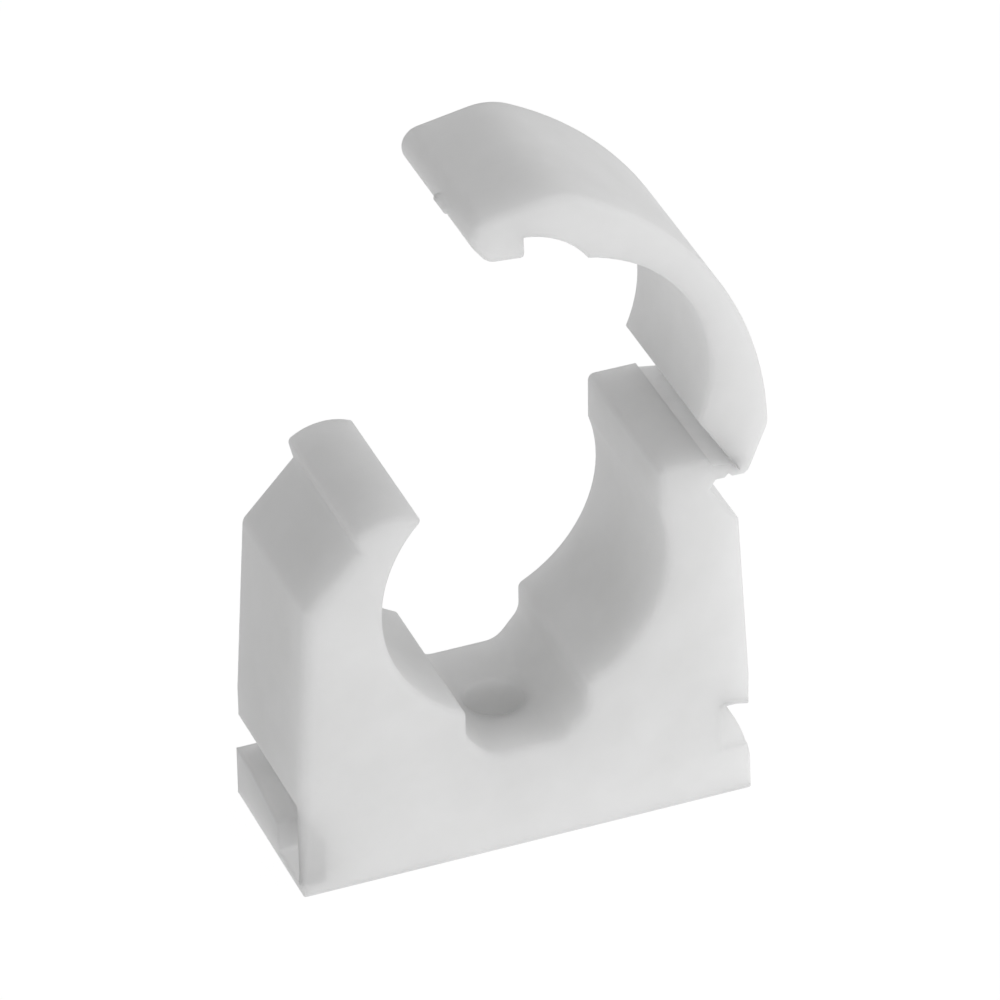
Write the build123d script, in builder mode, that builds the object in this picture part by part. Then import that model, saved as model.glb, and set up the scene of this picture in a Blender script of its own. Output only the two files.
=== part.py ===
"""Hinged pipe clip, moulded in one piece and shown open, as it comes from the mould.

Frame: millimetres. The origin is where the axis of the nail hole meets the wall plane.
+Z points away from the wall, Y runs along the pipe and the strap hinges on the +X side.
The strap is drawn closed round the pipe and then turned open about the hinge web.
Heights named "rise" are taken from the pipe's axis, "reach" is taken from the bore.
"""
import math
import os

from build123d import *

os.makedirs("parts", exist_ok=True)

# Pipe and block
pipe_diameter = 22.0
clip_length = 14.0  # along the pipe
seat_height = 11.8  # from the wall to the lowest line of the bore
side_wall = 6.67  # from the bore to the side of the block, at its foot
side_straight_height = 10.0  # above this height the sides lean in
side_lean = 0.87  # how far each side has leaned in at its shoulder
side_round = 0.9  # soft edges round the block's outer outline
shoulder_round = 1.0
foot_round = 0.2  # the upright edges get sharper towards the foot
foot_margin = 0.5  # the squarer foot ends this much below the channel's floor
edge_round = 0.45  # soft front edges of the bore, the arms and the channel
back_round = 0.2  # the same edges at the back, where the mould parts

# Channel under the pipe, with the nail hole in its floor
channel_width = 9.5
channel_floor_height = 8.4
channel_floor_width = 5.8
channel_bevel = 2.2
channel_round = 1.8
channel_lip_round = 0.6
nail_hole_diameter = 4.6

# Latch arm on the -X side
latch_tip_angle = 135.0  # where the bore ends, in degrees from +X
latch_shoulder_rise = 1.8
latch_slope_reach = 0.25  # top of the sloping shoulder
nose_crown = 0.64  # top of the nose above the latch tip
nose_drop = 0.3  # outer corner of the nose below the latch tip
nose_reach = 1.95
nose_lip = 1.65  # from that corner down to the root of the nose
nose_undercut = 0.4
nose_round = 0.5
nose_bed_depth = 1.5  # the nose's outline runs this deep into the arm
nose_bed_inset = 2.3  # and comes back this far from the end of the bore

# Hinge arm on the +X side
land_angle = 18.7  # where the bore turns into the upright land
arm_rise = 7.2  # flat top of the arm
arm_top_reach = 3.2  # where the flat top ends at the small groove
arm_end_lean = 0.3  # the arm's end leans out this much down to the web
arm_round = 0.55
hinge_shoulder_rise = 1.1
hinge_notch_depth = 2.6
notch_drop = 0.7  # the notch's apex lies this much below the web
notch_lean = 0.5  # and this far outside the foot of the arm's end
web_drop = 1.75  # from the flat top down to the underside of the folding web
web_thickness = 1.0
web_swell = 0.3  # the web is this much thicker at the arm
web_root = 0.5  # and runs this far into it
web_length = 2.2
web_pinch = 0.3  # groove along the line that folds

# Strap, given in its closed position
opening_angle = 57.0
hinge_reach = 3.8  # the point that the strap turns about
hinge_drop = 1.2  # and how far it is below the flat top of the arm
heel_gap = 0.2  # between the heel of the closed strap and the arm
strap_crown = 2.51  # thickness over the middle of the bore
strap_lift = 1.53  # the closed strap's arc stands this much above the bore
strap_shift = 0.3  # and this much to the hinge side of it
crown_shift = 0.3  # the crown's middle is this much further that way
heel_reach = 5.5
heel_lift = 0.14  # the crown bends down to the heel this much above the bore
heel_slope = 2.1  # how far the heel slopes in up to that bend
heel_lip = 0.3  # the heel's inner corner stands this much over the land
heel_foot = 0.95  # foot of that slope over the flat top of the arm
heel_lean = 0.1
strap_round = 0.5
bend_round = 1.2
pocket_height = 0.5  # middle of the hollow for the nose, above the latch tip
pocket_inset = 0.1  # and inside the bore
pocket_end_height = 1.3
pocket_end_reach = 3.1  # where the hollow ends, inside the bore
ledge_drop = 1.2  # the ledge of the hook, below the latch tip
ledge_reach = 1.95
hook_tip_drop = 2.1
hook_tip_reach = 0.46
hook_width = 1.7  # from the tip to the foot of the hook
hook_foot_lift = 0.3  # that foot stands this much above the thumb lip's
hook_round = 1.2
thumb_drop = 4.58  # foot of the thumb lip, below the latch tip
thumb_reach = 6.16
thumb_bend_reach = 3.1  # where the lip bends into the crown
thumb_bend_drop = 0.55  # and how far that is below the top of the bore
thumb_bend_round = 5.0
thumb_round = 1.5
gate_mark_length = 1.8
gate_mark_size = 0.35
gate_mark_inset = 1.3  # its place, from the foot of the thumb lip
gate_mark_lift = 0.45
gate_mark_shift = 1.7  # and this far in front of the middle

# Interlocking grooves low on both sides
groove_end_wall = 1.0
lug_height = 4.05
lug_depth = 1.9
lug_length = 8.7
lug_flat = 3.0  # level part of the lug's top, at the open end
lug_fall = 1.05  # the rest falls this much towards its free end
pocket_floor = 0.5
latch_groove_roof = 9.5  # height that the groove's roof would reach outside the block
cut_margin = 1.0  # what cuts the block runs this far past it
hook_groove_height = 7.9
hook_groove_depth = 2.1
hook_lip = 0.5  # the groove's roof falls this much towards the side
shoulder_foot_height = 2.1
shoulder_middle_depth = 0.85  # the rounded shoulder passes through this depth
shoulder_middle_drop = 2.4  # at this level, below the groove's roof
hook_step = 0.3
hook_step_inset = 0.4  # the step is cut this much deeper than the groove
edge_break = 0.25
overlap = 0.05  # what is joined or cut overlaps by this
tolerance = 0.001

bore_radius = pipe_diameter / 2
axis_height = bore_radius + seat_height
half_width = bore_radius + side_wall
half_length = clip_length / 2
half_channel = channel_width / 2
shoulder_x = half_width - side_lean
arm_top = axis_height + arm_rise
hinge_x = bore_radius + hinge_reach
hinge_z = arm_top - hinge_drop


def on_bore(angle):
    """Returns the point of the bore at an angle from +X."""
    turn = math.radians(angle)
    return (bore_radius * math.cos(turn), axis_height + bore_radius * math.sin(turn))


def by_latch(reach, height):
    """Returns the point this far outside the bore and this far above the latch tip."""
    return (-bore_radius - reach, latch_tip[1] + height)


def over_bore(x, lift):
    """Returns the point at x that is this far above the top of the bore."""
    return (x, axis_height + bore_radius + lift)


def opened(point):
    """Turns a point of the closed strap to where it stands in the open strap."""
    turn = math.radians(-opening_angle)
    dx = point[0] - hinge_x
    dz = point[1] - hinge_z
    return (
        hinge_x + dx * math.cos(turn) - dz * math.sin(turn),
        hinge_z + dx * math.sin(turn) + dz * math.cos(turn),
    )


def lengthways_edges(part, points):
    """Returns the edges along the pipe that pass through the given points."""
    chosen = []
    for edge in part.edges().filter_by(Axis.Y):
        middle = edge.position_at(0.5)
        if any(math.hypot(middle.X - x, middle.Z - z) < tolerance for x, z in points):
            chosen.append(edge)
    return chosen


def end_edges(part, keep):
    """Returns the edges of the two end faces whose middle point passes the test keep."""
    chosen = []
    for edge in part.edges():
        places = [edge.position_at(share) for share in (0, 0.5, 1)]
        if all(abs(abs(place.Y) - half_length) < tolerance for place in places) and keep(places[1]):
            chosen.append(edge)
    return chosen


# Block with its two arms, as an outline that runs clockwise from the tip of the latch arm
latch_tip = on_bore(latch_tip_angle)
latch_slope_top = (-bore_radius - latch_slope_reach, latch_tip[1])
latch_shoulder = (-shoulder_x, axis_height + latch_shoulder_rise)
hinge_shoulder = (shoulder_x, axis_height + hinge_shoulder_rise)
web_under = arm_top - web_drop
web_top = web_under + web_thickness
notch_apex = (shoulder_x - hinge_notch_depth, web_under - notch_drop)
web_start = notch_apex[0] + notch_lean
arm_top_end = bore_radius + arm_top_reach
land_start = on_bore(land_angle)
channel_top = axis_height - math.sqrt(bore_radius**2 - half_channel**2)
bevel_top = channel_floor_height + channel_bevel

# Nose that the strap snaps over
nose_corner = by_latch(nose_reach, -nose_drop)
nose_root = by_latch(nose_reach - nose_undercut, -nose_drop - nose_lip)
nose_middle = ((latch_tip[0] + nose_corner[0]) / 2, latch_tip[1] + nose_crown)

with BuildPart() as block:
    with BuildSketch(Plane.XZ):
        with BuildLine():
            Polyline(
                latch_tip,
                latch_slope_top,
                latch_shoulder,
                (-half_width, side_straight_height),
                (-half_width, 0),
                (half_width, 0),
                (half_width, side_straight_height),
                hinge_shoulder,
                notch_apex,
                (web_start, web_under),
                (web_start, web_top),
                (arm_top_end + arm_end_lean, web_top),
                (arm_top_end, arm_top),
                (land_start[0], arm_top),
                land_start,
            )
            ThreePointArc(land_start, on_bore(-25), (half_channel, channel_top))
            Polyline(
                (half_channel, channel_top),
                (half_channel, bevel_top),
                (channel_floor_width / 2, channel_floor_height),
                (-channel_floor_width / 2, channel_floor_height),
                (-half_channel, bevel_top),
                (-half_channel, channel_top),
            )
            ThreePointArc((-half_channel, channel_top), on_bore(-170), latch_tip)
        make_face()
        with BuildLine():
            ThreePointArc(latch_tip, nose_middle, nose_corner)
            Polyline(
                nose_corner,
                nose_root,
                (nose_root[0] + nose_bed_depth, nose_root[1] - nose_bed_depth),
                (latch_tip[0] - nose_bed_inset, nose_root[1]),
                latch_tip,
            )
        make_face()
    extrude(amount=half_length, both=True)
    side_bends = [
        latch_shoulder,
        (-half_width, side_straight_height),
        (half_width, side_straight_height),
    ]
    fillet(lengthways_edges(block.part, side_bends), shoulder_round)
    fillet(lengthways_edges(block.part, [(land_start[0], arm_top)]), arm_round)
    fillet(lengthways_edges(block.part, [nose_corner]), nose_round)
    fillet(lengthways_edges(block.part, [latch_tip]), edge_break)
    channel_bends = [
        (half_channel, bevel_top),
        (channel_floor_width / 2, channel_floor_height),
        (-channel_floor_width / 2, channel_floor_height),
        (-half_channel, bevel_top),
    ]
    fillet(lengthways_edges(block.part, channel_bends), channel_round)
    channel_lips = [(half_channel, channel_top), (-half_channel, channel_top)]
    fillet(lengthways_edges(block.part, channel_lips), channel_lip_round)
    nose_foot = nose_root[1] - 0.5
    sides = end_edges(
        block.part,
        lambda place: place.Z > edge_break
        and ((place.X < -arm_top_end + 2 and place.Z < nose_foot) or place.X > shoulder_x + tolerance),
    )
    fillet(sides, side_round)
    inner_edges = end_edges(
        block.part,
        lambda place: place.Z > edge_break
        and (abs(place.X) < -latch_slope_top[0] or place.Z > nose_foot)
        and place.X < arm_top_end - 0.1,
    )
    fillet([edge for edge in inner_edges if edge.position_at(0.5).Y < 0], edge_round)
    fillet([edge for edge in inner_edges if edge.position_at(0.5).Y > 0], back_round)

with BuildPart() as foot:
    with BuildSketch():
        RectangleRounded(2 * half_width, clip_length, foot_round)
    with BuildSketch(Plane.XY.offset(channel_floor_height - foot_margin)):
        RectangleRounded(2 * half_width, clip_length, side_round)
    loft(ruled=True)

# Strap: the arc over the pipe, the hollow for the nose, hook, thumb lip, crown and heel
heel = arm_top + heel_gap
strap_corner = (land_start[0] - heel_lip, heel)
strap_middle = over_bore(strap_shift, strap_lift)
pocket_end = by_latch(-pocket_end_reach, pocket_end_height)
pocket_middle = by_latch(-pocket_inset, pocket_height)
ledge = by_latch(ledge_reach, -ledge_drop)
hook_tip = by_latch(hook_tip_reach, -hook_tip_drop)
hook_foot = by_latch(hook_tip_reach + hook_width, hook_foot_lift - thumb_drop)
thumb_foot = by_latch(thumb_reach, -thumb_drop)
thumb_bend = over_bore(-bore_radius - thumb_bend_reach, -thumb_bend_drop)
crown = over_bore(strap_shift + crown_shift, strap_lift + strap_crown)
heel_bend = over_bore(bore_radius + heel_reach - heel_slope, heel_lift)
heel_side = (bore_radius + heel_reach, arm_top + heel_foot)

with BuildPart() as strap:
    with BuildSketch(Plane.XZ):
        with BuildLine():
            ThreePointArc(opened(strap_corner), opened(strap_middle), opened(pocket_end))
            ThreePointArc(opened(pocket_end), opened(pocket_middle), opened(ledge))
            Polyline(
                opened(ledge),
                opened(hook_tip),
                opened(hook_foot),
                opened(thumb_foot),
                opened(thumb_bend),
            )
            ThreePointArc(opened(thumb_bend), opened(crown), opened(heel_bend))
            Polyline(
                opened(heel_bend),
                opened(heel_side),
                opened((heel_side[0] - heel_lean, heel)),
                opened(strap_corner),
            )
        make_face()
    extrude(amount=half_length, both=True)
    fillet(lengthways_edges(strap.part, [opened(thumb_foot)]), thumb_round)
    fillet(lengthways_edges(strap.part, [opened(hook_foot)]), hook_round)
    fillet(lengthways_edges(strap.part, [opened(thumb_bend)]), thumb_bend_round)
    fillet(lengthways_edges(strap.part, [opened(heel_bend)]), bend_round)
    crown_place = opened(crown)
    back_edges = end_edges(
        strap.part,
        lambda place: math.hypot(place.X - crown_place[0], place.Z - crown_place[1]) < 2,
    )
    fillet(back_edges, strap_round)
    bore_centre = opened((0, axis_height))
    inner_edges = end_edges(
        strap.part,
        lambda place: math.hypot(place.X - bore_centre[0], place.Z - bore_centre[1])
        < bore_radius + 3.2,
    )
    fillet(inner_edges, edge_break)

# Web that folds, with a pinched line at the foot of the strap
pinch_x = web_start + web_length - 4 * web_pinch

with BuildPart() as web:
    with BuildSketch(Plane.XZ):
        with BuildLine():
            Polyline(
                (arm_top_end - web_root, web_under),
                (pinch_x - web_pinch, web_under),
                (pinch_x, web_under + web_pinch),
                (pinch_x + web_pinch, web_under),
                (web_start + web_length, web_under),
                (pinch_x + web_pinch, web_top),
                (arm_top_end + arm_end_lean / 3, web_top + web_swell),
                (arm_top_end - web_root, web_top),
                close=True,
            )
        make_face()
    extrude(amount=half_length, both=True)

lug_x = -half_width + lug_depth
lug_start_y = half_length - lug_length
wall_y = -half_length + groove_end_wall
hook_x = half_width - hook_groove_depth
step_width = hook_step_inset + hook_groove_depth + cut_margin

with BuildPart() as pipe_clip:
    add(block.part)
    add(foot.part)
    add(web.part)
    add(strap.part)

    # Nail hole through the channel's floor
    with BuildSketch():
        Circle(nail_hole_diameter / 2)
    extrude(amount=channel_floor_height + cut_margin, mode=Mode.SUBTRACT)

    # Latch side: the groove is open at the back and closed by a wall at the front
    with BuildSketch(Plane.XZ.offset(-half_length - cut_margin)):
        Polygon(
            (lug_x, lug_height - 2 * overlap),
            (-half_width - cut_margin, lug_height),
            (-half_width - cut_margin, latch_groove_roof),
            align=None,
        )
    extrude(amount=clip_length - groove_end_wall + cut_margin, mode=Mode.SUBTRACT)
    with BuildSketch(Plane.YZ.offset(lug_x)):
        Polygon(
            (half_length - lug_flat, lug_height + overlap),
            (lug_start_y, lug_height - lug_fall),
            (lug_start_y, pocket_floor),
            (wall_y, pocket_floor),
            (wall_y, lug_height + overlap),
            align=None,
        )
    extrude(amount=-lug_depth - cut_margin, mode=Mode.SUBTRACT)

    # The lug keeps sharp corners
    with BuildSketch(Plane.YZ.offset(lug_x)):
        Polygon(
            (half_length, lug_height),
            (half_length - lug_flat, lug_height),
            (lug_start_y, lug_height - lug_fall),
            (lug_start_y, 0),
            (half_length, 0),
            align=None,
        )
    extrude(amount=-lug_depth)

    # Hinge side: the matching groove over a rounded shoulder, open at the front
    with BuildSketch(Plane.XZ.offset(half_length + cut_margin)):
        with BuildLine():
            shoulder_foot = (half_width + overlap, shoulder_foot_height)
            shoulder_middle = (
                half_width - shoulder_middle_depth,
                hook_groove_height - shoulder_middle_drop,
            )
            ThreePointArc(shoulder_foot, shoulder_middle, (hook_x, hook_groove_height))
            Polyline(
                (hook_x, hook_groove_height),
                (half_width, hook_groove_height - hook_lip),
                (half_width + cut_margin, hook_groove_height - hook_lip),
                (half_width + cut_margin, shoulder_foot[1]),
                shoulder_foot,
            )
        make_face()
    extrude(amount=-(clip_length - groove_end_wall + cut_margin), mode=Mode.SUBTRACT)

    # The rounded shoulder stands a little behind the front face
    with BuildSketch(Plane.XZ.offset(half_length + cut_margin)):
        with Locations((hook_x - hook_step_inset, lug_height)):
            Rectangle(step_width, hook_groove_height - lug_height, align=(Align.MIN, Align.MIN))
    extrude(amount=-(cut_margin + hook_step), mode=Mode.SUBTRACT)

    # Gate mark on the edge of the thumb lip
    gate_place = opened((thumb_foot[0] + gate_mark_inset, thumb_foot[1] + gate_mark_lift))
    with Locations((gate_place[0], -gate_mark_shift, gate_place[1])):
        Cylinder(gate_mark_size, gate_mark_length, rotation=(90, 0, 0))

pipe_clip.part.label = "pipe_clip"
export_step(pipe_clip.part, "parts/pipe_clip.step")
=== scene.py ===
"""Looks of the hinged pipe clip: one moulding of translucent white nylon, standing open."""

import logging
import math
from dataclasses import dataclass, field
from enum import Enum

import bmesh
import bpy
from mathutils import Matrix, Vector


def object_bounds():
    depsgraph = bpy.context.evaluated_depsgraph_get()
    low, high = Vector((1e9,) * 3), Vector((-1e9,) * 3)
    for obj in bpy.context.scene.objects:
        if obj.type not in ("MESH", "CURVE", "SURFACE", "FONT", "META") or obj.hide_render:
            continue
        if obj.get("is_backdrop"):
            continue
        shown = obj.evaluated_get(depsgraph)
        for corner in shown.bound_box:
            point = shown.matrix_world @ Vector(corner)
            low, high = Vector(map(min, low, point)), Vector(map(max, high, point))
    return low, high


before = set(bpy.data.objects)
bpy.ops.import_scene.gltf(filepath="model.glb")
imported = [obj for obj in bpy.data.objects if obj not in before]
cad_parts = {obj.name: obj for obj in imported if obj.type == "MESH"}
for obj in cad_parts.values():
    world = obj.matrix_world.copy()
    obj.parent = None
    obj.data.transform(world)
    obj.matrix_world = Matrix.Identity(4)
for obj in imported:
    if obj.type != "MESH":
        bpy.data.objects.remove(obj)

Colour = tuple[float, float, float, float]
Point = tuple[float, float, float]

LOG = logging.getLogger("pipe_clip_scene")
MM = 0.001
WHITE: Colour = (1.0, 1.0, 1.0, 1.0)


class Sum(Enum):
    """Sums that the math nodes of this scene work out."""

    ADD = "ADD"
    MULTIPLY = "MULTIPLY"
    MULTIPLY_AND_ADD = "MULTIPLY_ADD"
    SUBTRACT = "SUBTRACT"
    DOT_PRODUCT = "DOT_PRODUCT"
    LENGTH = "LENGTH"


def new_node(tree: bpy.types.NodeTree, kind: str, x: float, y: float) -> bpy.types.Node:
    """Adds a node at a place in a node tree.

    Args:
        tree: The material, world or group that gets the node.
        kind: The node's type name.
        x: Its place across the tree.
        y: Its place up the tree.

    Returns:
        The new node.
    """
    node = tree.nodes.new(kind)
    node.location = (x, y)
    return node


def new_sum(tree: bpy.types.NodeTree, kind: str, step: Sum, x: float, y: float) -> bpy.types.Node:
    """Adds a node that works out one sum.

    Args:
        tree: The material, world or group that gets the node.
        kind: The node's type name, for numbers or for vectors.
        step: The sum.
        x: Its place across the tree.
        y: Its place up the tree.

    Returns:
        The new node.
    """
    node = new_node(tree, kind, x, y)
    node.operation = step.value
    return node


@dataclass(frozen=True)
class Patches:
    """Soft random patches that lie on the object's own coordinates.

    Attributes:
        scale: How many patches there are in a metre.
        detail: How many finer layers they have.
        roughness: How strong the finer layers are.
    """

    scale: float
    detail: float
    roughness: float = 0.5

    def build(
        self, tree: bpy.types.NodeTree, place: bpy.types.Node, x: float, y: float
    ) -> bpy.types.Node:
        """Adds the patches to a node tree.

        Args:
            tree: The group that gets them.
            place: The node that gives the object's coordinates.
            x: Their place across the tree.
            y: Their place up the tree.

        Returns:
            The texture node.
        """
        noise = new_node(tree, "ShaderNodeTexNoise", x, y)
        noise.inputs["Scale"].default_value = self.scale
        noise.inputs["Detail"].default_value = self.detail
        noise.inputs["Roughness"].default_value = self.roughness
        tree.links.new(place.outputs["Object"], noise.inputs["Vector"])
        return noise


@dataclass(frozen=True)
class MouldedSkin:
    """What the surface of moulded nylon shows: cloudy patches, a fine grain and shallow sinks.

    Attributes:
        clouds: The milkier patches.
        grain: The fine grain.
        sinks: The shallow sink marks.
        grain_height: Height of the grain as a share of the height of the sink marks.
    """

    clouds: Patches = Patches(scale=190.0, detail=3.0, roughness=0.55)
    grain: Patches = Patches(scale=2600.0, detail=3.0, roughness=0.55)
    sinks: Patches = Patches(scale=190.0, detail=1.5)
    grain_height: float = 0.06

    def build(self) -> bpy.types.NodeTree:
        """Makes the shader group, once for all materials.

        Returns:
            A group with the inputs Cloud Scale, Grain Scale and Sink Scale and the outputs
            Tone, Sheen and Height.
        """
        name = "Moulded Skin"
        found = bpy.data.node_groups.get(name)
        if found is not None:
            return found
        group = bpy.data.node_groups.new(name, "ShaderNodeTree")
        starts = {
            "Cloud Scale": self.clouds.scale,
            "Grain Scale": self.grain.scale,
            "Sink Scale": self.sinks.scale,
        }
        for label, start in starts.items():
            socket = group.interface.new_socket(
                name=label, in_out="INPUT", socket_type="NodeSocketFloat"
            )
            socket.default_value = start
        for label in ("Tone", "Sheen", "Height"):
            group.interface.new_socket(name=label, in_out="OUTPUT", socket_type="NodeSocketFloat")
        inside = new_node(group, "NodeGroupInput", -900, 0)
        outside = new_node(group, "NodeGroupOutput", 0, 0)
        place = new_node(group, "ShaderNodeTexCoord", -900, -300)

        clouds = self.clouds.build(group, place, -600, 200)
        grain = self.grain.build(group, place, -600, -100)
        sinks = self.sinks.build(group, place, -600, -400)
        group.links.new(inside.outputs["Cloud Scale"], clouds.inputs["Scale"])
        group.links.new(inside.outputs["Grain Scale"], grain.inputs["Scale"])
        group.links.new(inside.outputs["Sink Scale"], sinks.inputs["Scale"])

        height = new_sum(group, "ShaderNodeMath", Sum.MULTIPLY_AND_ADD, -300, -250)
        height.inputs[1].default_value = self.grain_height
        group.links.new(grain.outputs["Fac"], height.inputs[0])
        group.links.new(sinks.outputs["Fac"], height.inputs[2])
        group.links.new(clouds.outputs["Fac"], outside.inputs["Tone"])
        group.links.new(grain.outputs["Fac"], outside.inputs["Sheen"])
        group.links.new(height.outputs["Value"], outside.inputs["Height"])
        return group


@dataclass(frozen=True)
class PaintedWebLight:
    """Painted light: a lighter zone along the line that the web folds about, painted into the
    colour to lift the shade in the groove there.

    Attributes:
        streaks: The stronger and weaker places in the zone.
        faint: Value of the streaks' pattern at and under which the zone is weakest.
        strong: Value of the streaks' pattern at and over which it is strongest.
        least: Share of the painted light that the weakest places keep.
        across: Weights that leave out the direction along the line, which is Y.
    """

    streaks: Patches = Patches(scale=700.0, detail=3.0)
    faint: float = 0.3
    strong: float = 0.7
    least: float = 0.6
    across: Point = (1.0, 0.0, 1.0)

    def build(self) -> bpy.types.NodeTree:
        """Makes the shader group, once for all materials.

        Returns:
            A group with the inputs Line and Reach and the output Painted Light, the share of
            painted light at each point.
        """
        name = "Painted Web Light"
        found = bpy.data.node_groups.get(name)
        if found is not None:
            return found
        group = bpy.data.node_groups.new(name, "ShaderNodeTree")
        group.interface.new_socket(name="Line", in_out="INPUT", socket_type="NodeSocketVector")
        group.interface.new_socket(name="Reach", in_out="INPUT", socket_type="NodeSocketFloat")
        group.interface.new_socket(
            name="Painted Light", in_out="OUTPUT", socket_type="NodeSocketFloat"
        )
        inside = new_node(group, "NodeGroupInput", -1000, 0)
        outside = new_node(group, "NodeGroupOutput", 350, -100)
        place = new_node(group, "ShaderNodeTexCoord", -1000, -250)

        away = new_sum(group, "ShaderNodeVectorMath", Sum.SUBTRACT, -750, -100)
        group.links.new(place.outputs["Object"], away.inputs[0])
        group.links.new(inside.outputs["Line"], away.inputs[1])
        across = new_sum(group, "ShaderNodeVectorMath", Sum.MULTIPLY, -550, -100)
        across.inputs[1].default_value = self.across
        group.links.new(away.outputs["Vector"], across.inputs[0])
        distance = new_sum(group, "ShaderNodeVectorMath", Sum.LENGTH, -350, -100)
        group.links.new(across.outputs["Vector"], distance.inputs[0])
        fade = new_node(group, "ShaderNodeMapRange", -150, 0)
        fade.interpolation_type = "SMOOTHSTEP"
        fade.inputs["To Min"].default_value = 1.0
        fade.inputs["To Max"].default_value = 0.0
        group.links.new(distance.outputs["Value"], fade.inputs["Value"])
        group.links.new(inside.outputs["Reach"], fade.inputs["From Max"])

        streaks = self.streaks.build(group, place, -350, -350)
        level = new_node(group, "ShaderNodeMapRange", -150, -350)
        level.inputs["From Min"].default_value = self.faint
        level.inputs["From Max"].default_value = self.strong
        level.inputs["To Min"].default_value = self.least
        group.links.new(streaks.outputs["Fac"], level.inputs["Value"])
        # Painted light: the share by which the colour is lightened near the web's fold, where the
        # groove lies in shade.
        painted_light = new_sum(group, "ShaderNodeMath", Sum.MULTIPLY, 150, -100)
        group.links.new(fade.outputs["Result"], painted_light.inputs[0])
        group.links.new(level.outputs["Result"], painted_light.inputs[1])
        group.links.new(painted_light.outputs["Value"], outside.inputs["Painted Light"])
        return group


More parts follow.
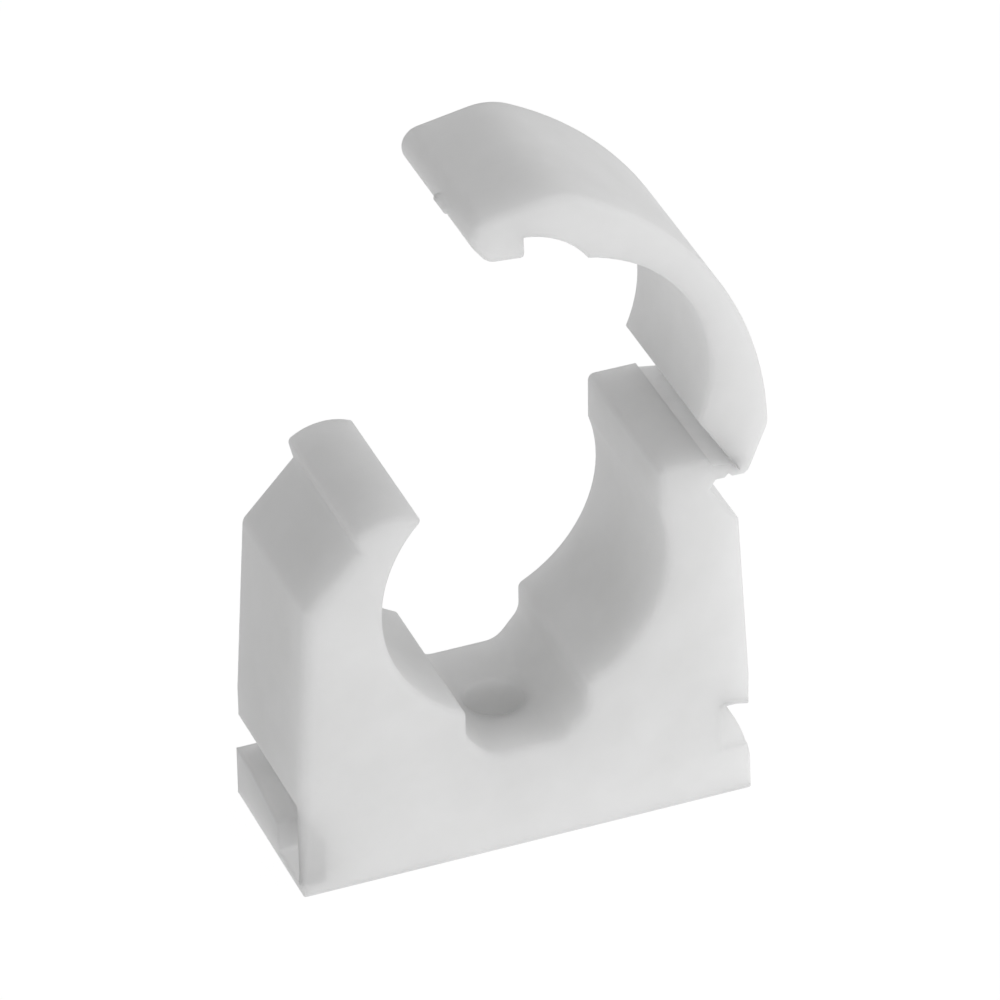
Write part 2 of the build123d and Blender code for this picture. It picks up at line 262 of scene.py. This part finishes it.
@dataclass(frozen=True)
class WhiteNylon:
    """Natural nylon as it comes from the mould: white, nearly matt and a little see-through.

    Attributes:
        name: Name of the material.
        pale: Colour of the clearer patches.
        milky: Colour of the cloudier patches.
        painted_light_colour: Colour of the painted light along the web's fold, which lifts the
            shade in the groove there.
        fold: A point of the line that the web folds about, in metres.
        fold_reach: How far the painted light spreads from that line, in metres.
        roughness: How dull the skin is.
        roughness_swing: How far the grain takes the roughness up and down.
        refraction: Index of refraction of the plastic.
        shine: Strength of the reflections, where 0.5 is what that refraction gives.
        milkiness: Share of the light that goes into the plastic and spreads there.
        depth: How far light spreads inside, in metres.
        spread: Share of that depth for red, green and blue.
        relief: Strength of the grain and the sink marks.
        relief_height: Height of the grain and the sink marks, in metres.
        edge_softness: How far the shading rolls over each edge, in metres.
        edge_samples: Fineness of that roll.
        sharp_from: Share of painted light from which the edges by the web stay sharp.
    """

    name: str = "White Nylon"
    pale: Colour = (0.775, 0.775, 0.77, 1.0)
    milky: Colour = (0.875, 0.875, 0.875, 1.0)
    painted_light_colour: Colour = (0.97, 0.97, 0.97, 1.0)
    fold: Point = (15.4 * MM, 0.0, 29.0 * MM)
    fold_reach: float = 2.4 * MM
    roughness: float = 0.5
    roughness_swing: float = 0.06
    refraction: float = 1.5
    shine: float = 0.15
    milkiness: float = 1.0
    depth: float = 9.0 * MM
    spread: Point = (1.0, 1.0, 1.0)
    relief: float = 0.5
    relief_height: float = 0.12 * MM
    edge_softness: float = 0.7 * MM
    edge_samples: int = 8
    sharp_from: float = 0.12

    def build(self) -> bpy.types.Material:
        """Makes the material.

        Returns:
            The finished material.
        """
        material = bpy.data.materials.new(self.name)
        material.use_nodes = True
        tree = material.node_tree
        tree.nodes.clear()
        out = new_node(tree, "ShaderNodeOutputMaterial", 700, 0)
        shader = new_node(tree, "ShaderNodeBsdfPrincipled", 350, 0)
        shader.subsurface_method = "RANDOM_WALK"
        shader.inputs["Subsurface Weight"].default_value = self.milkiness
        shader.inputs["Subsurface Radius"].default_value = self.spread
        shader.inputs["Subsurface Scale"].default_value = self.depth
        shader.inputs["IOR"].default_value = self.refraction
        shader.inputs["Specular IOR Level"].default_value = self.shine
        tree.links.new(shader.outputs["BSDF"], out.inputs["Surface"])

        skin = new_node(tree, "ShaderNodeGroup", -700, 100)
        skin.node_tree = MouldedSkin().build()
        web_light = new_node(tree, "ShaderNodeGroup", -700, -200)
        web_light.node_tree = PaintedWebLight().build()
        web_light.inputs["Line"].default_value = self.fold
        web_light.inputs["Reach"].default_value = self.fold_reach

        self.add_colour(tree, skin, web_light, shader)
        self.add_sheen(tree, skin, shader)
        self.add_relief(tree, skin, web_light, shader)
        return material

    def add_colour(
        self,
        tree: bpy.types.NodeTree,
        skin: bpy.types.Node,
        web_light: bpy.types.Node,
        shader: bpy.types.Node,
    ) -> None:
        """Gives the shader its clearer and cloudier patches and the painted light that lifts the
        shade at the web.

        Args:
            tree: The material's node tree.
            skin: The moulded skin.
            web_light: The painted light at the web.
            shader: The shader.
        """
        tone = new_node(tree, "ShaderNodeMix", -350, 350)
        tone.data_type = "RGBA"
        tone.inputs["A"].default_value = self.pale
        tone.inputs["B"].default_value = self.milky
        tree.links.new(skin.outputs["Tone"], tone.inputs["Factor"])
        # Painted light: lightens the colour towards white along the web's fold, where the groove
        # lies in shade.
        painted_light = new_node(tree, "ShaderNodeMix", -100, 300)
        painted_light.data_type = "RGBA"
        painted_light.inputs["B"].default_value = self.painted_light_colour
        tree.links.new(web_light.outputs["Painted Light"], painted_light.inputs["Factor"])
        tree.links.new(tone.outputs["Result"], painted_light.inputs["A"])
        tree.links.new(painted_light.outputs["Result"], shader.inputs["Base Color"])

    def add_sheen(
        self, tree: bpy.types.NodeTree, skin: bpy.types.Node, shader: bpy.types.Node
    ) -> None:
        """Lets the grain make the shader duller and less dull.

        Args:
            tree: The material's node tree.
            skin: The moulded skin.
            shader: The shader.
        """
        sheen = new_node(tree, "ShaderNodeMapRange", -350, 50)
        sheen.inputs["To Min"].default_value = self.roughness - self.roughness_swing
        sheen.inputs["To Max"].default_value = self.roughness + self.roughness_swing
        tree.links.new(skin.outputs["Sheen"], sheen.inputs["Value"])
        tree.links.new(sheen.outputs["Result"], shader.inputs["Roughness"])

    def add_relief(
        self,
        tree: bpy.types.NodeTree,
        skin: bpy.types.Node,
        web_light: bpy.types.Node,
        shader: bpy.types.Node,
    ) -> None:
        """Gives the shader its grain and sink marks, and rolls its light over the edges.

        The edges by the web stay sharp, because the roll would blur the narrow groove there.

        Args:
            tree: The material's node tree.
            skin: The moulded skin.
            web_light: The painted light at the web, which tells how near the web is.
            shader: The shader.
        """
        softness = new_node(tree, "ShaderNodeMapRange", -450, -350)
        softness.inputs["From Max"].default_value = self.sharp_from
        softness.inputs["To Min"].default_value = self.edge_softness
        softness.inputs["To Max"].default_value = 0.0
        tree.links.new(web_light.outputs["Painted Light"], softness.inputs["Value"])
        rolled = new_node(tree, "ShaderNodeBevel", -250, -350)
        rolled.samples = self.edge_samples
        tree.links.new(softness.outputs["Result"], rolled.inputs["Radius"])
        bump = new_node(tree, "ShaderNodeBump", 0, -250)
        bump.inputs["Strength"].default_value = self.relief
        bump.inputs["Distance"].default_value = self.relief_height
        tree.links.new(skin.outputs["Height"], bump.inputs["Height"])
        tree.links.new(rolled.outputs["Normal"], bump.inputs["Normal"])
        tree.links.new(bump.outputs["Normal"], shader.inputs["Normal"])


@dataclass
class Moulding:
    """The whole clip, which is one moulding.

    Attributes:
        node: Name of the solid that it is.
        finish: The plastic.
    """

    node: str = "pipe_clip"
    finish: WhiteNylon = field(default_factory=WhiteNylon)

    def build(self) -> bpy.types.Object:
        """Dresses the solid in its plastic.

        Returns:
            The dressed piece.
        """
        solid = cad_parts[self.node]
        solid.data.materials.clear()
        solid.data.materials.append(self.finish.build())
        return solid


@dataclass(frozen=True)
class Lamp:
    """A round, soft studio lamp.

    Attributes:
        name: What the lamp does.
        place: Where it hangs, in metres.
        width: Width of its face, in metres.
        power: Its power, in watts.
    """

    name: str
    place: Point
    width: float
    power: float

    def build(self, aim: Vector) -> bpy.types.Object:
        """Hangs the lamp and points it.

        Args:
            aim: The point that it lights.

        Returns:
            The lamp.
        """
        data = bpy.data.lights.new(self.name, "AREA")
        data.shape = "DISK"
        data.size = self.width
        data.energy = self.power
        lamp = bpy.data.objects.new(self.name, data)
        bpy.context.scene.collection.objects.link(lamp)
        lamp.location = self.place
        lamp.rotation_euler = (aim - Vector(self.place)).to_track_quat("-Z", "Y").to_euler()
        return lamp


@dataclass(frozen=True)
class Surround:
    """The soft light from all sides, with plain white behind the clip.

    Attributes:
        level: Strength of that light midway, where 1 is white.
        lean: How much is added to it from +X, +Y and +Z, and taken off on the opposite sides.
    """

    level: float = 0.455
    lean: Point = (0.31, -0.14, 0.0)

    def build(self) -> bpy.types.World:
        """Makes the surround and gives it to the scene.

        Returns:
            The surround.
        """
        world = bpy.data.worlds.new("Surround")
        bpy.context.scene.world = world
        world.use_nodes = True
        tree = world.node_tree
        tree.nodes.clear()
        out = new_node(tree, "ShaderNodeOutputWorld", 400, 0)
        mix = new_node(tree, "ShaderNodeMixShader", 200, 0)
        seen = new_node(tree, "ShaderNodeLightPath", -200, 200)
        direction = new_node(tree, "ShaderNodeTexCoord", -800, -100)
        side = new_sum(tree, "ShaderNodeVectorMath", Sum.DOT_PRODUCT, -600, -100)
        side.inputs[1].default_value = self.lean
        level = new_sum(tree, "ShaderNodeMath", Sum.ADD, -400, -100)
        level.inputs[1].default_value = self.level
        light = new_node(tree, "ShaderNodeBackground", -200, -100)
        light.inputs["Color"].default_value = WHITE
        white = new_node(tree, "ShaderNodeBackground", -200, -250)
        white.inputs["Color"].default_value = WHITE
        tree.links.new(direction.outputs["Generated"], side.inputs[0])
        tree.links.new(side.outputs["Value"], level.inputs[0])
        tree.links.new(level.outputs["Value"], light.inputs["Strength"])
        tree.links.new(seen.outputs["Is Camera Ray"], mix.inputs["Fac"])
        tree.links.new(light.outputs["Background"], mix.inputs[1])
        tree.links.new(white.outputs["Background"], mix.inputs[2])
        tree.links.new(mix.outputs["Shader"], out.inputs["Surface"])
        return world


@dataclass(frozen=True)
class PaleFloor:
    """The pale floor, which also gives a soft light from below, as a light table does.

    Attributes:
        width: Its side, in metres.
        drop: How far it lies under the clip, in metres.
        grey: Its own colour.
        glow: Strength of the light that it gives.
        white: Strength of the white that the camera sees on it.
        white_share: Share of that white in what the camera sees. The rest is the floor itself,
            with its shadow.
    """

    width: float = 8.0
    drop: float = 0.05 * MM
    grey: Colour = (0.8, 0.8, 0.8, 1.0)
    glow: float = 0.33
    white: float = 1.03
    white_share: float = 0.93

    def build(self) -> bpy.types.Object:
        """Lays the floor.

        Returns:
            The floor.
        """
        mesh = bpy.data.meshes.new("floor")
        sheet = bmesh.new()
        bmesh.ops.create_grid(sheet, x_segments=1, y_segments=1, size=self.width / 2)
        bmesh.ops.translate(sheet, verts=sheet.verts[:], vec=(0.0, 0.0, -self.drop))
        sheet.to_mesh(mesh)
        sheet.free()
        mesh.materials.append(self.build_finish())
        floor = bpy.data.objects.new("floor", mesh)
        bpy.context.scene.collection.objects.link(floor)
        floor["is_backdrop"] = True
        return floor

    def build_finish(self) -> bpy.types.Material:
        """Makes the floor's material.

        Returns:
            The material.
        """
        material = bpy.data.materials.new("Pale Floor")
        material.use_nodes = True
        tree = material.node_tree
        tree.nodes.clear()
        out = new_node(tree, "ShaderNodeOutputMaterial", 600, 0)
        mix = new_node(tree, "ShaderNodeMixShader", 400, 0)
        seen = new_node(tree, "ShaderNodeLightPath", -200, 300)
        share = new_sum(tree, "ShaderNodeMath", Sum.MULTIPLY, 0, 300)
        share.inputs[1].default_value = self.white_share
        matt = new_node(tree, "ShaderNodeBsdfDiffuse", 0, 0)
        matt.inputs["Color"].default_value = self.grey
        glow = new_node(tree, "ShaderNodeEmission", 0, -350)
        glow.inputs["Strength"].default_value = self.glow
        lit = new_node(tree, "ShaderNodeAddShader", 200, -50)
        white = new_node(tree, "ShaderNodeEmission", 0, -200)
        white.inputs["Strength"].default_value = self.white
        tree.links.new(seen.outputs["Is Camera Ray"], share.inputs[0])
        tree.links.new(share.outputs["Value"], mix.inputs["Fac"])
        tree.links.new(matt.outputs["BSDF"], lit.inputs[0])
        tree.links.new(glow.outputs["Emission"], lit.inputs[1])
        tree.links.new(lit.outputs["Shader"], mix.inputs[1])
        tree.links.new(white.outputs["Emission"], mix.inputs[2])
        tree.links.new(mix.outputs["Shader"], out.inputs["Surface"])
        return material


@dataclass
class Studio:
    """Surround, floor and soft lamps.

    Attributes:
        surround: The light from all sides.
        floor: The floor.
        lamps: The lamps.
    """

    surround: Surround = field(default_factory=Surround)
    floor: PaleFloor = field(default_factory=PaleFloor)
    lamps: tuple[Lamp, ...] = (
        Lamp(name="Front Lamp", place=(-0.1, -1.1, 0.25), width=0.5, power=2.0),
        Lamp(name="Side Lamp", place=(1.1, -0.1, 0.3), width=0.4, power=1.3),
    )

    def build(self, aim: Vector) -> None:
        """Sets up the surround, the floor and the lamps.

        Args:
            aim: The point that the lamps light.
        """
        self.surround.build()
        self.floor.build()
        for lamp in self.lamps:
            lamp.build(aim)


@dataclass
class ProductCamera:
    """The camera, at the distance and with the lens that show the clip as a catalogue does.

    Attributes:
        place: Where it stands, in metres.
        back: Direction from the clip to the camera.
        roll: Tilt about its own axis, in degrees.
        lens: Focal length, in millimetres.
        frame_width: Width of the frame for that focal length, in millimetres.
        nearest: Nearest distance that it shows, in metres.
        farthest: Farthest distance that it shows, in metres.
    """

    place: Point = (-0.17443, -0.45192, 0.35801)
    back: Point = (-0.29811, -0.76903, 0.56541)
    roll: float = -0.86
    lens: float = 292.8
    frame_width: float = 36.0
    nearest: float = 0.05
    farthest: float = 50.0

    def build(self) -> bpy.types.Object:
        """Places the camera and makes it the scene's own.

        Returns:
            The camera.
        """
        data = bpy.data.cameras.new("Camera")
        data.lens = self.lens
        data.sensor_width = self.frame_width
        data.clip_start = self.nearest
        data.clip_end = self.farthest
        camera = bpy.data.objects.new("Camera", data)
        bpy.context.scene.collection.objects.link(camera)
        back = Vector(self.back).normalized()
        right = Vector((0.0, 0.0, 1.0)).cross(back).normalized()
        up = back.cross(right)
        turn = math.radians(self.roll)
        right_turned = right * math.cos(turn) + up * math.sin(turn)
        up_turned = up * math.cos(turn) - right * math.sin(turn)
        axes = Matrix((right_turned, up_turned, back)).transposed().to_4x4()
        camera.matrix_world = Matrix.Translation(Vector(self.place)) @ axes
        bpy.context.scene.camera = camera
        return camera


def main() -> None:
    """Builds the clip, the studio and the camera."""
    logging.basicConfig(level=logging.INFO, format="%(message)s")
    bpy.context.scene.view_settings.view_transform = "Standard"
    cad_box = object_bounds()
    middle = (cad_box[0] + cad_box[1]) / 2

    clip = Moulding().build()
    LOG.info("moulding: %d faces", len(clip.data.polygons))
    Studio().build(middle)
    LOG.info("studio built")
    ProductCamera().build()
    LOG.info("camera placed")


if __name__ == "__main__":
    main()
